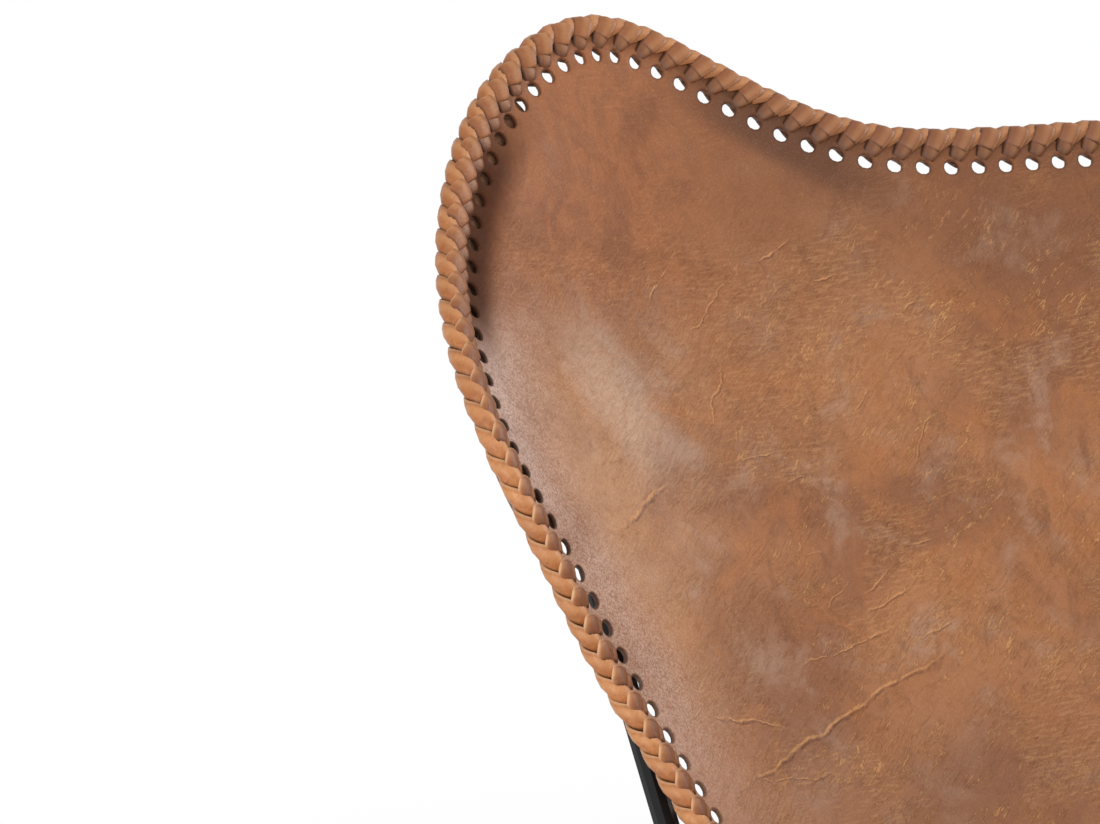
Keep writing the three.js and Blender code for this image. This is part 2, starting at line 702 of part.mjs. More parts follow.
// Ear tubes run from joint to joint over the ear, and foot tubes from joint to joint round the foot.
for (const spot of spots) {
  const [near, far] = legEnds(spot);
  const earEnds = [near, far].map((foot) => {
    const joint = jointPoint(spot, foot);
    return along(joint, heading(joint, ears[spot].corner), JOINT_GAP / 2);
  });
  const earPath = [earEnds[0], ...ears[spot].bend.points, earEnds[1]];
  addPiece(`ear_tube_${spot}`, cutBy(sweptTube(earPath, TUBE_RADIUS, BORE), holes[spot]), blackCoat);

  const foot = feet[spot];
  const footEnds = [near, far].map((ear) => {
    const joint = jointPoint(ear, spot);
    return along(joint, heading(joint, foot.corner), JOINT_GAP / 2);
  });
  const footBend = bend(foot.corner, ears[near].corner, ears[far].corner, FOOT_BEND);
  const footPath = [footEnds[0], ...footBend.points, footEnds[1]];
  addPiece(`foot_tube_${spot}`, sweptTube(footPath, TUBE_RADIUS, BORE), blackCoat);

  // Glide: a puck with a groove that the bend sits in.
  const { centre, spoke, turn } = footBend;
  const fall = Math.hypot(spoke.z, turn.z);
  const down = along(centre, spoke, (-FOOT_BEND * spoke.z) / fall);
  const lowest = along(down, turn, (-FOOT_BEND * turn.z) / fall);
  const onFloor = vec(lowest.x, lowest.y, 0);
  const puck = rod(onFloor, vec(lowest.x, lowest.y, GLIDE_UNDER + TUBE_RADIUS), GLIDE_RADIUS);
  const groove = sweptTube(footPath, TUBE_RADIUS + CLEARANCE, 0);
  addPiece(`floor_glide_${spot}`, cutBy(puck, [groove]), blackPlastic);
}

export default chair;
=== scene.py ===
"""Looks of a butterfly sling chair: a laced tan hide on a black tube frame, in the model's own frame."""
import json
import math

import bpy
import numpy as np
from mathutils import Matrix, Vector


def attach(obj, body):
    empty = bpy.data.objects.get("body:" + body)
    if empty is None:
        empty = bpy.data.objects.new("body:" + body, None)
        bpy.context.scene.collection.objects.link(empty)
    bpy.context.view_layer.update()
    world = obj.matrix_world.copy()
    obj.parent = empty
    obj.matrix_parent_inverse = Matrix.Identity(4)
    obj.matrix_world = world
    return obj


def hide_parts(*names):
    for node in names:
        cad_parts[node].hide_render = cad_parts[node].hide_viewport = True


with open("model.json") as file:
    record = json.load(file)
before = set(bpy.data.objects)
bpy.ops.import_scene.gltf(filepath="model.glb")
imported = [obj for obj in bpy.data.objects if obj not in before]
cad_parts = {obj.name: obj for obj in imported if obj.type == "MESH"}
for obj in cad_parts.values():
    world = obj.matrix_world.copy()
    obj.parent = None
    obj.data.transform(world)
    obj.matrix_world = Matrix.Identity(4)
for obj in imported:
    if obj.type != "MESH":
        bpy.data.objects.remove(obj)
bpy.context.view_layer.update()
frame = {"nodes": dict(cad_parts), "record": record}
MM = 0.001

# Hung shape of the hide, in millimetres: the same curves and sizes as the solids have.
FRONT_EDGE_Y = -361
FRONT_EDGE_Z = 380
SEAT_RUN = 215
SEAT_SLOPE = math.radians(12)
HIP_RADIUS = 255
BACK_LEAN = math.radians(36)
SECTION_ANGLES = [(-150, 62), (60, 62), (380, 95), (700, 50), (950, 32), (1200, 28)]
SECTION_HALF_WIDTH = 400
SECTION_POWER = 1.6
SECTION_STEPS = 16
WING_CURL = math.radians(6)
WING_CURL_FROM = 290
WING_CURL_RUN = 120
WING_CURL_ALONG = 900
WING_CURL_SPREAD = 130
CUT_OUTLINE = [
    (0, 992), (116, 988), (212, 1049), (280, 1078), (361, 1010), (404, 920), (443, 790), (369, 699),
    (301, 556), (255, 420), (258, 290), (345, 170), (440, 90), (445, -30), (340, -105), (170, -25), (0, 0),
]
HIDE_THICKNESS = 3.2
NORMAL_PROBE = 0.5
OUTLINE_SAMPLES = 8001

# Punched holes and the lacing through them
HOLES = 242
HOLE_INSET = 18.5
HOLE_LENGTH = 8.4
HOLE_WIDTH = 8.8
HOLE_SWELLS = (1.35, 1.0)
HOLE_PRESS = 0.5
BAND_FROM = 11
BAND_TO = 26
CELL_COLUMNS = 3
CELL_ROWS = 4
LACE_THICKNESS = 1.6

# Pockets behind the wings, as the solids have them: from and to along the half rim, how far the first
# and the last end stand off the hide, and how fast they reach that
POCKET_THICKNESS = 2
POCKETS = {"back": (367, 697.5, 64, 26, 1.2), "front": (1358.3, 1688.7, 78, 24, 0.9)}
POCKET_TAPER = (0.3, 0.7)
POCKET_LIP = 18.5
POCKET_MOUTH_EDGE = 6
POCKET_MOUTH_SAG = 80
POCKET_OFFSET = 2.4


def smooth(value, low, high):
    share = np.clip((value - low) / (high - low), 0, 1)
    return share * share * (3 - 2 * share)


# Hide surface

def middle_line(distance):
    """Depth, height and tilt of the hide's middle line at a distance along it."""
    turn = math.pi / 2 - BACK_LEAN + SEAT_SLOPE
    seat = np.minimum(distance, SEAT_RUN)
    bend = np.clip(distance - SEAT_RUN, 0, HIP_RADIUS * turn) / HIP_RADIUS
    back = np.maximum(distance - SEAT_RUN - HIP_RADIUS * turn, 0)
    tilt = bend - SEAT_SLOPE
    cosine, sine = math.cos(SEAT_SLOPE), math.sin(SEAT_SLOPE)
    y = seat * cosine + HIP_RADIUS * (np.sin(tilt) + sine) + back * np.cos(tilt)
    z = -seat * sine + HIP_RADIUS * (cosine - np.cos(tilt)) + back * np.sin(tilt)
    return FRONT_EDGE_Y + y, FRONT_EDGE_Z + z, tilt


def section_angle(distance):
    """Angle that the hide's section reaches at SECTION_HALF_WIDTH, at a distance along the middle line."""
    angle = np.full_like(distance, SECTION_ANGLES[0][1], dtype=float)
    for (start, before), (end, after) in zip(SECTION_ANGLES, SECTION_ANGLES[1:]):
        angle += (after - before) * smooth(distance, start, end)
    return np.radians(angle)


def hung(flat):
    """Points of the flat hide, carried to where they hang."""
    across, distance = flat[..., 0], flat[..., 1]
    y, z, tilt = middle_line(distance)
    edge_angle = section_angle(distance)
    curl_here = WING_CURL * np.exp(-(((distance - WING_CURL_ALONG) / WING_CURL_SPREAD) ** 2))
    step = np.abs(across) / SECTION_STEPS
    x = np.zeros_like(step)
    lift = np.zeros_like(step)
    for i in range(SECTION_STEPS):
        out = (i + 0.5) * step
        curl = curl_here * smooth(out, WING_CURL_FROM, WING_CURL_FROM + WING_CURL_RUN)
        angle = edge_angle * (out / SECTION_HALF_WIDTH) ** SECTION_POWER + curl
        x += np.cos(angle) * step
        lift += np.sin(angle) * step
    return np.stack([np.sign(across) * x, y - lift * np.sin(tilt), z + lift * np.cos(tilt)], axis=-1)


def hide_normal(flat):
    """Unit normals of the hung hide, towards the sitter."""
    across = hung(flat + [NORMAL_PROBE, 0]) - hung(flat - [NORMAL_PROBE, 0])
    along = hung(flat + [0, NORMAL_PROBE]) - hung(flat - [0, NORMAL_PROBE])
    normal = np.cross(across, along)
    return normal / np.linalg.norm(normal, axis=-1, keepdims=True)


def on_hide(flat, height):
    """Points at a height above the hide's middle surface, on the seat side."""
    return hung(flat) + hide_normal(flat) * np.asarray(height)[..., None]


# Cut outline

def outline_points(shares):
    """Closed uniform cubic spline of the cut's control polygon, at shares of the way round."""
    left = [(-a, b) for a, b in CUT_OUTLINE]
    polygon = np.array(left + [(a, b) for a, b in CUT_OUTLINE[-2:0:-1]], dtype=float)
    place = shares * len(polygon)
    first = np.floor(place).astype(int)
    f = place - first
    weights = [(1 - f) ** 3, 3 * f**3 - 6 * f**2 + 4, -3 * f**3 + 3 * f**2 + 3 * f + 1, f**3]
    return sum(w[:, None] / 6 * polygon[(first + k - 1) % len(polygon)] for k, w in enumerate(weights))


FINE_POINTS = outline_points(np.linspace(0, 1, OUTLINE_SAMPLES))
FINE_LENGTHS = np.concatenate([[0], np.cumsum(np.linalg.norm(np.diff(FINE_POINTS, axis=0), axis=1))])
RIM_LENGTH = FINE_LENGTHS[-1]
PITCH = RIM_LENGTH / HOLES


def rim_point(length):
    """Flat point of the rim at a length along it, from the back's middle down the left side."""
    around = length % RIM_LENGTH
    return np.stack([np.interp(around, FINE_LENGTHS, FINE_POINTS[:, k]) for k in (0, 1)], axis=-1)


def rim_flat(length, inset):
    """Flat point at a length along the rim and an inset from it."""
    length, inset = np.broadcast_arrays(np.asarray(length, dtype=float), np.asarray(inset, dtype=float))
    around = length % RIM_LENGTH
    point = rim_point(around)
    run = rim_point(around + 1) - rim_point(around - 1)
    run /= np.linalg.norm(run, axis=-1, keepdims=True)
    inward = np.stack([-run[..., 1], run[..., 0]], axis=-1)
    return point + inward * inset[..., None]


# Meshes

def add_layer(mesh, name, values):
    """A layer of two numbers for each point, which a finish can read."""
    layer = mesh.uv_layers.new(name=name)
    corners = np.empty(len(mesh.loops), dtype=np.int32)
    mesh.loops.foreach_get("vertex_index", corners)
    layer.data.foreach_set("uv", values[corners].astype(np.float32).ravel())


def new_piece(name, points, faces, finish, flat):
    """A mesh object in metres from points in millimetres, which rides on the chair and takes a finish."""
    mesh = bpy.data.meshes.new(name)
    mesh.from_pydata((np.asarray(points) * MM).tolist(), [], faces)
    mesh.validate()
    mesh.shade_smooth()
    add_layer(mesh, "flat", np.asarray(flat) * MM)
    mesh.materials.append(finish)
    piece = bpy.data.objects.new(name, mesh)
    bpy.context.scene.collection.objects.link(piece)
    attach(piece, "root")
    return piece


def sheet_faces(rows, columns):
    """Faces of a closed sheet of two layers of points, each of them rows by columns."""
    def at(layer, r, c):
        return (layer * rows + r) * columns + c

    faces = []
    for r in range(rows - 1):
        for c in range(columns - 1):
            faces.append((at(0, r, c), at(0, r, c + 1), at(0, r + 1, c + 1), at(0, r + 1, c)))
            faces.append((at(1, r, c), at(1, r + 1, c), at(1, r + 1, c + 1), at(1, r, c + 1)))
        for c, order in ((0, 1), (columns - 1, -1)):
            faces.append((at(0, r, c), at(0, r + 1, c), at(1, r + 1, c), at(1, r, c))[::order])
    for r, order in ((0, 1), (rows - 1, -1)):
        for c in range(columns - 1):
            faces.append((at(0, r, c), at(1, r, c), at(1, r, c + 1), at(0, r, c + 1))[::order])
    return faces


# Slack waves and folds

NOISE_CELLS = 64
NOISE_SHIFT = 1000
# Lift, lump size and seed of each wave, in millimetres
WAVES = [(1.3, 95, 3), (0.6, 38, 5)]
FOLD_WANDER_SEED = 11
RELIEF_FADE = 45
# Each fold's two ends on the flat hide, its height and its spread
FOLDS = [
    ((-296, 588), (-88, 698), 1.9, 5),
    ((-326, 744), (-272, 786), 1.7, 5),
    ((210, 820), (330, 900), 1.2, 8),
    ((-120, 420), (150, 452), 1.6, 10),
    ((-170, 372), (60, 360), 1.3, 9),
    ((40, 470), (240, 520), 1.4, 9),
    ((180, 250), (290, 330), 1.4, 8),
    ((-290, 250), (-190, 330), 1.4, 8),
]


def lattice_noise(flat, size, seed):
    """Smooth noise between -1 and 1 over the flat hide, with lumps of a size in millimetres."""
    grid = np.random.default_rng(seed).uniform(-1, 1, (NOISE_CELLS, NOISE_CELLS))
    place = flat / size + NOISE_SHIFT
    cell = np.floor(place).astype(int)
    f = place - cell
    f = f * f * (3 - 2 * f)
    x, y = cell[..., 0] % NOISE_CELLS, cell[..., 1] % NOISE_CELLS
    x1, y1 = (x + 1) % NOISE_CELLS, (y + 1) % NOISE_CELLS
    low = grid[x, y] * (1 - f[..., 0]) + grid[x1, y] * f[..., 0]
    high = grid[x, y1] * (1 - f[..., 0]) + grid[x1, y1] * f[..., 0]
    return low * (1 - f[..., 1]) + high * f[..., 1]


def ridge(flat, start, end, height, spread):
    """A soft fold along a straight line of the flat hide, fading at both ends."""
    start, end = np.array(start, dtype=float), np.array(end, dtype=float)
    run = end - start
    length = np.linalg.norm(run)
    run /= length
    offset = flat - start
    place = offset @ run / length
    off = offset @ np.array([-run[1], run[0]])
    off = off + 0.6 * spread * lattice_noise(flat, 4 * spread, FOLD_WANDER_SEED)
    fade = smooth(place, -0.05, 0.25) * (1 - smooth(place, 0.75, 1.05))
    groove = np.exp(-((off / spread + 1.4) ** 2))
    return height * fade * (np.exp(-((off / spread) ** 2)) - 0.35 * groove)


def hide_relief(flat, inset):
    """Height of the hide's slack waves and folds, which die out towards the laced rim."""
    away = smooth(inset, BAND_TO, BAND_TO + RELIEF_FADE)
    waves = sum(lift * lattice_noise(flat, size, seed) for lift, size, seed in WAVES)
    folds = sum(ridge(flat, *fold) for fold in FOLDS)
    return away * (waves + folds)


# Punched hide

EDGE_ROWS = (0, 3.5, 7, BAND_FROM)
INNER_RINGS = 100
MIDDLE_BACK = 800
MIDDLE_FRONT = 170
RIM_COLUMNS = HOLES * CELL_COLUMNS


class HideLayout:
    """Flat points of the punched hide with their insets, its faces on one side, its hole and rim loops."""

    def __init__(self):
        self.flats, self.insets, self.faces, self.holes = [], [], [], []
        self.count = 0
        self.lengths = np.arange(RIM_COLUMNS) * RIM_LENGTH / RIM_COLUMNS
        far = self.add_rim_band()
        self.fill_middle(far)

    def add_row(self, flat, inset):
        """Adds points and returns the number of the first."""
        first = self.count
        self.flats.append(flat)
        self.insets.append(np.broadcast_to(inset, len(flat)))
        self.count += len(flat)
        return first

    def join_loops(self, outer, inner):
        """Faces between two closed loops of points."""
        for k in range(len(outer)):
            n = (k + 1) % len(outer)
            self.faces.append((outer[k], outer[n], inner[n], inner[k]))

    def rim_row(self, inset):
        first = self.add_row(rim_flat(self.lengths, inset), inset)
        return range(first, first + RIM_COLUMNS)

    def add_rim_band(self):
        """The edge and the band of holes. Returns the band's inner loop."""
        rows = [self.rim_row(inset) for inset in EDGE_ROWS]
        for outer, inner in zip(rows, rows[1:]):
            self.join_loops(outer, inner)
        self.rim = list(rows[0])
        far = self.rim_row(BAND_TO)
        cell_insets = np.linspace(BAND_FROM, BAND_TO, CELL_ROWS + 1)[1:-1]
        starts = self.lengths[::CELL_COLUMNS]
        walls = [self.add_row(rim_flat(starts, inset), inset) for inset in cell_insets]
        for hole in range(HOLES):
            self.add_hole(hole, rows[-1], far, walls)
        return far

    def add_hole(self, hole, near, far, walls):
        """One cell of the band, with the rings round its hole."""
        columns = [(hole * CELL_COLUMNS + k) % RIM_COLUMNS for k in range(CELL_COLUMNS + 1)]
        border = [near[k] for k in columns]
        border += [wall + (hole + 1) % HOLES for wall in walls]
        border += [far[k] for k in reversed(columns)]
        border += [wall + hole for wall in reversed(walls)]
        places = [(-0.5 + k / CELL_COLUMNS, -0.5) for k in range(CELL_COLUMNS + 1)]
        places += [(0.5, -0.5 + (k + 1) / CELL_ROWS) for k in range(CELL_ROWS - 1)]
        places += [(0.5 - k / CELL_COLUMNS, 0.5) for k in range(CELL_COLUMNS + 1)]
        places += [(-0.5, 0.5 - (k + 1) / CELL_ROWS) for k in range(CELL_ROWS - 1)]
        turns = np.array([math.atan2(w, s) for s, w in places])
        centre = (hole + 0.5) * PITCH
        outer = border
        for swell in HOLE_SWELLS:
            along = centre + swell * HOLE_LENGTH / 2 * np.cos(turns)
            inset = HOLE_INSET + swell * HOLE_WIDTH / 2 * np.sin(turns)
            first = self.add_row(rim_flat(along, inset), inset)
            inner = list(range(first, first + len(turns)))
            self.join_loops(outer, inner)
            outer = inner
        self.holes.append(outer)

    def fill_middle(self, far):
        """Rings from the band to a seam along the hide's middle line."""
        half = np.minimum(self.lengths, RIM_LENGTH - self.lengths) / (RIM_LENGTH / 2)
        middle = MIDDLE_BACK + (MIDDLE_FRONT - MIDDLE_BACK) * smooth(half, 0, 1)
        anchor = np.stack([np.zeros(RIM_COLUMNS), middle], axis=-1)
        edge = rim_flat(self.lengths, BAND_TO)
        reach = np.linalg.norm(anchor - edge, axis=-1)
        last = far
        for ring in range(1, INNER_RINGS):
            share = ring / INNER_RINGS
            first = self.add_row(edge + (anchor - edge) * share, BAND_TO + reach * share)
            row = range(first, first + RIM_COLUMNS)
            self.join_loops(last, row)
            last = row
        seam_points = RIM_COLUMNS // 2 + 1
        seam = self.add_row(anchor[:seam_points], BAND_TO + reach[:seam_points])
        self.join_loops(last, [seam + min(j, RIM_COLUMNS - j) for j in range(RIM_COLUMNS)])


def make_hide(finish):
    """The hide with its punched holes, slack waves and folds."""
    layout = HideLayout()
    flat, inset = np.concatenate(layout.flats), np.concatenate(layout.insets)
    faces, holes, rim = layout.faces, layout.holes, layout.rim
    relief = hide_relief(flat, inset)
    count = len(flat)
    ring = np.zeros(count)
    ring[[k for loop in holes for k in loop]] = 1
    pressed = HOLE_PRESS * ring
    front = on_hide(flat, relief + HIDE_THICKNESS / 2 - pressed)
    rear = on_hide(flat, relief - HIDE_THICKNESS / 2 + pressed)
    all_faces = faces + [tuple(k + count for k in face[::-1]) for face in faces]
    for loop in holes:
        for a, b in zip(loop, loop[1:] + loop[:1]):
            all_faces.append((a, b, b + count, a + count))
    for a, b in zip(rim, rim[1:] + rim[:1]):
        all_faces.append((b, a, a + count, b + count))
    both = np.concatenate([flat, flat])
    piece = new_piece("hide", np.concatenate([front, rear]), all_faces, finish, both)
    for name, values in (("rim_distance", inset * MM), ("hole_ring", ring)):
        layer = piece.data.attributes.new(name, "FLOAT", "POINT")
        layer.data.foreach_set("value", np.concatenate([values, values]).astype(np.float32))
    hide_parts("hide_panel")
    return piece


# Lacing

WRAP_RADIUS = 4.6
WRAP_MIDDLE = -1.0
LACE_ACROSS = np.array([-1, -0.6, 0, 0.6, 1])
LACE_SWAY = 0.35
SWAY_LIFT = 0.3
SWAY_WIDTH = 0.4
# Half the run of the back's lacing and the end of the sides' lacing, along the half rim
BACK_LACING_END = 330
SIDE_LACING_END = 1500
# Each visible lace of one hole. Its bed gives, step by step, the distance round the rim (inwards in front,
# negative behind), the lift above the bed and the half width. It slants along the rim and ends by the hole.
LEAF = {
    "bed": [(-28, -3, 6.4), (-25.5, -1.6, 6.4), (-23, -0.8, 6.4), (-20, -0.3, 6.4), (-17, -0.2, 6.4),
            (-14.5, -0.2, 6.4), (-12, -0.2, 6.4), (-9.5, -0.2, 6.4), (-7, -0.1, 6.4), (-5, 0, 6.4),
            (-3, 0, 6.3), (-1, -0.2, 6.1), (0.8, -0.7, 5.8), (2.4, -1.3, 5.4), (3.8, -1.9, 5),
            (5, -2.6, 4.4)],
    "slant": 1.0, "end": (-9.5, 4), "tilt": 1.1, "camber": 2.2,
}
DIAMOND = {
    "bed": [(-3.8, 0.8, 5.3), (-3.4, 1.6, 5.7), (-2.2, 2.2, 6.1), (-0.6, 2.5, 6.3), (1, 2.5, 6.3),
            (2.8, 2.2, 6.2), (4.6, 1.7, 6), (6.2, 1.1, 5.8), (7.4, 0.3, 5.5), (8, -0.8, 5.3)],
    "slant": 0.55, "end": (-1.6, 13.5), "tilt": 1, "camber": 0.6,
}
DIVE = {
    "bed": [(2, 0, 5.6), (4, 0.2, 5.5), (6.2, 0.2, 5.3), (8.4, 0, 5), (10.4, -0.4, 4.6), (12, -1, 4.2),
            (13.2, -1.9, 3.8), (14, -3, 3.5), (14.5, -4.2, 3.3), (14.8, -5.2, 3.2)],
    "slant": 0.5, "end": (-2, 13.5), "tilt": 0.3, "camber": 0.5,
}


def wrap(distance):
    """Inset, height and turn of the lacing's bed at a distance round the rim, counted inwards in front."""
    turn = np.clip(-distance / WRAP_RADIUS, 0, math.pi)
    behind = np.maximum(-distance - math.pi * WRAP_RADIUS, 0)
    inset = np.maximum(distance, 0) + behind - WRAP_RADIUS * np.sin(turn)
    return inset, WRAP_MIDDLE + WRAP_RADIUS * np.cos(turn), turn


def lace_strip(centre, shape, sway):
    """Points, faces and lengthwise and crosswise shares of one flat lace laid on the bed."""
    distance, lift, half_width = np.array(shape["bed"], dtype=float).T
    end_along, end_distance = shape["end"]
    along = centre + end_along + shape["slant"] * (distance - end_distance) + sway[0]
    lift = lift + SWAY_LIFT * sway[1]
    half_width = half_width + SWAY_WIDTH * sway[2]
    run = np.stack([np.gradient(along), np.gradient(distance)], axis=-1)
    run /= np.linalg.norm(run, axis=-1, keepdims=True)
    side = np.stack([run[:, 1], -run[:, 0]], axis=-1) * half_width[:, None]
    rim_place = along[:, None] + side[:, :1] * LACE_ACROSS
    around = distance[:, None] + side[:, 1:] * LACE_ACROSS
    height = lift[:, None] - shape["tilt"] * LACE_ACROSS + shape["camber"] * (1 - LACE_ACROSS**2)
    inset, bed, turn = wrap(around)
    layers = []
    for sink in (0, LACE_THICKNESS):
        rise = height - sink
        layers.append(on_hide(rim_flat(rim_place, inset - rise * np.sin(turn)), bed + rise * np.cos(turn)))
    rows, columns = rim_place.shape
    faces = sheet_faces(rows, columns)
    lengthwise = np.repeat(np.linspace(0, 1, rows), columns)
    crosswise = np.tile(LACE_ACROSS, rows)
    shares = np.stack([lengthwise, crosswise], axis=-1)
    points = np.concatenate([layer.reshape(-1, 3) for layer in layers])
    return points, faces, np.concatenate([shares, shares])


def hole_laces(hole, rng):
    """The visible laces of one hole: a leaf over the rim, a raised diamond on it, and one into the hole."""
    centre = (hole + 0.5) * PITCH
    return [lace_strip(centre, shape, rng.normal(0, LACE_SWAY, 3)) for shape in (LEAF, DIAMOND, DIVE)]


def lacing_holes(name):
    """Holes of one length of lacing: back, left and right run as the solids do, front takes the rest."""
    places = (np.arange(HOLES) + 0.5) * PITCH
    signed = np.where(places > RIM_LENGTH / 2, places - RIM_LENGTH, places)
    bounds = {
        "back": (-BACK_LACING_END, BACK_LACING_END),
        "left": (BACK_LACING_END, SIDE_LACING_END),
        "right": (-SIDE_LACING_END, -BACK_LACING_END),
    }
    if name in bounds:
        low, high = bounds[name]
        return np.flatnonzero((signed >= low) & (signed < high))
    return np.flatnonzero(np.abs(signed) >= SIDE_LACING_END)


def make_lacing(name, finish):
    """One length of lacing. Each strip carries its shares, a chance tone and its kind for the finish."""
    points, faces, shares, tones = [], [], [], []
    rng = np.random.default_rng(len(name) * 7 + 1)
    total = 0
    for hole in lacing_holes(name):
        for kind, (strip_points, strip_faces, strip_shares) in enumerate(hole_laces(hole, rng)):
            points.append(strip_points)
            faces += [tuple(k + total for k in face) for face in strip_faces]
            shares.append(strip_shares)
            tones.append(np.tile([rng.uniform(0, 1), kind], (len(strip_points), 1)))
            total += len(strip_points)
    piece = new_piece(f"lacing_{name}", np.concatenate(points), faces, finish, np.concatenate(shares) / MM)
    add_layer(piece.data, "tone", np.concatenate(tones))
    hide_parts(f"edge_lacing_{name}")
    return piece


# Pockets


POCKET_COLUMNS = 30
POCKET_ROWS = 16
POCKET_EDGE = 1
# Lift, lump size and seed of the pocket's slack, and the stand at which it is full
POCKET_WAVE = (0.8, 40, 21)
POCKET_WAVE_FROM = 20


def make_pocket(depth, hand, finish):
    """A pocket behind one wing: on the hide at the rim, then out over the ear tube to a sagging mouth."""
    start, end, first_stand, last_stand, rise = POCKETS[depth]
    lengths = np.linspace(start, end, POCKET_COLUMNS)
    u = np.linspace(0, 1, POCKET_COLUMNS)[:, None]
    first, last = rim_flat([start, end], POCKET_LIP + POCKET_MOUTH_EDGE)
    chord = (last - first) / np.linalg.norm(last - first)
    inward = np.array([-chord[1], chord[0]])
    mouth = first + (last - first) * u + inward * POCKET_MOUTH_SAG * 4 * u * (1 - u)
    lip = rim_flat(lengths, POCKET_LIP)
    reach = np.linalg.norm(mouth - lip, axis=-1)
    full = first_stand + (last_stand - first_stand) * smooth(u[:, 0], *POCKET_TAPER)
    flats, stands = [rim_flat(lengths, POCKET_EDGE)], [np.zeros(POCKET_COLUMNS)]
    for row in range(POCKET_ROWS):
        share = row / (POCKET_ROWS - 1)
        flats.append(lip + (mouth - lip) * share)
        stands.append(full * smooth(reach * share, 0, rise * full))
    flat = np.stack(flats) * [hand, 1]
    stand = np.stack(stands)
    lift, size, seed = POCKET_WAVE
    stand = stand + lift * lattice_noise(flat, size, seed) * smooth(stand, 0, POCKET_WAVE_FROM)
    near = on_hide(flat, -(POCKET_OFFSET + stand)).reshape(-1, 3)
    far = on_hide(flat, -(POCKET_OFFSET + POCKET_THICKNESS + stand)).reshape(-1, 3)
    rows, columns = flat.shape[:2]
    faces = sheet_faces(rows, columns)
    if hand < 0:
        faces = [face[::-1] for face in faces]
    side = "left" if hand > 0 else "right"
    flat = flat.reshape(-1, 2)
    both = np.concatenate([flat, flat])
    piece = new_piece(f"ear_pocket_{depth}_{side}", np.concatenate([near, far]), faces, finish, both)
    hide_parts(f"pocket_{depth}_{side}")


# Shader maths

class Socket:
    """A node output; Python operators on it add Math nodes to its finish."""

    def __init__(self, finish, socket):
        self.finish = finish
        self.socket = socket

    def math(self, operation, other, reflected=False):
        first, second = (other, self) if reflected else (self, other)
        return self.finish.node("ShaderNodeMath", {"operation": operation}, {0: first, 1: second})

    def __add__(self, other):
        return self.math("ADD", other)

    def __radd__(self, other):
        return self.math("ADD", other)

    def __sub__(self, other):
        return self.math("SUBTRACT", other)

    def __rsub__(self, other):
        return self.math("SUBTRACT", other, reflected=True)

    def __mul__(self, other):
        return self.math("MULTIPLY", other)

    def __rmul__(self, other):
        return self.math("MULTIPLY", other)

    def __abs__(self):
        return self.math("ABSOLUTE", 0)

    def largest(self, other):
        return self.math("MAXIMUM", other)

    def ramp(self, low, high, start=0.0, end=1.0):
        """Smooth step of the value from start at low to end at high."""
        values = {"Value": self, "From Min": low, "From Max": high, "To Min": start, "To Max": end}
        return self.finish.node("ShaderNodeMapRange", {"interpolation_type": "SMOOTHSTEP"}, values)


class Finish:
    """One material, with its nodes made in code and its colour laid on in layers."""

    def __init__(self, name):
        self.base = None
        self.material = bpy.data.materials.new(name)
        self.material.use_nodes = True
        self.tree = self.material.node_tree
        self.shader = self.tree.nodes["Principled BSDF"]

    def node(self, kind, settings=None, sockets=None, output=0):
        made = self.tree.nodes.new(kind)
        for key, value in (settings or {}).items():
            setattr(made, key, value)
        for key, value in (sockets or {}).items():
            self.feed(made.inputs[key], value)
        return Socket(self, made.outputs[output])

    def feed(self, target, value):
        if isinstance(value, Socket):
            self.tree.links.new(value.socket, target)
        else:
            target.default_value = value

    def blend(self, share, first, second):
        return self.node("ShaderNodeMix", {"data_type": "RGBA"}, {0: share, 6: first, 7: second}, output=2)

    def lay(self, share, tone):
        """Lays a share of a tone over the colour so far."""
        self.base = self.blend(share, self.base, tone)

    def coordinates(self, layer="flat"):
        """The two numbers of a piece's layer: its flat coordinates, unless another layer is named."""
        return self.node("ShaderNodeUVMap", {"uv_map": layer})

    def spot(self):
        """A point's place in the space of its piece."""
        return self.node("ShaderNodeTexCoord", {}, {}, output=3)

    def turned(self, place, angle):
        """A place turned about the origin of its flat coordinates."""
        turn = {"Vector": place, "Angle": angle}
        return self.node("ShaderNodeVectorRotate", {"rotation_type": "Z_AXIS"}, turn)

    def parts(self, vector):
        """The three components of a vector."""
        split = self.node("ShaderNodeSeparateXYZ", {}, {0: vector})
        return [Socket(self, output) for output in split.socket.node.outputs]

    def scaled(self, place, scale):
        return self.node("ShaderNodeVectorMath", {"operation": "MULTIPLY"}, {0: place, 1: scale})

    def attribute(self, name):
        return self.node("ShaderNodeAttribute", {"attribute_name": name}, {}, output=2)

    def warp(self, place, size, amount):
        """A place pushed about by noise, so that straight patterns wander."""
        push = self.node("ShaderNodeTexNoise", {}, {"Vector": place, "Scale": size, "Detail": 3.0}, output=1)
        centred = self.node("ShaderNodeVectorMath", {"operation": "SUBTRACT"}, {0: push, 1: (0.5, 0.5, 0.5)})
        scaled = self.node("ShaderNodeVectorMath", {"operation": "SCALE"}, {0: centred, "Scale": amount})
        return self.node("ShaderNodeVectorMath", {"operation": "ADD"}, {0: place, 1: scaled})

    def noise(self, place, size, detail=3.0, roughness=0.5, distortion=0.0):
        values = {"Vector": place, "Scale": size, "Detail": detail}
        values.update({"Roughness": roughness, "Distortion": distortion})
        return self.node("ShaderNodeTexNoise", {}, values)

    def cells(self, place, size):
        """Distance to the nearest of many scattered points."""
        return self.node("ShaderNodeTexVoronoi", {}, {"Vector": place, "Scale": size})

    def bump(self, height, strength, distance, under=None):
        values = {"Height": height, "Strength": strength, "Distance": distance}
        if under is not None:
            values["Normal"] = under
        return self.node("ShaderNodeBump", {}, values)

    def set(self, **values):
        for key, value in values.items():
            self.feed(self.shader.inputs[key.replace("_", " ")], value)


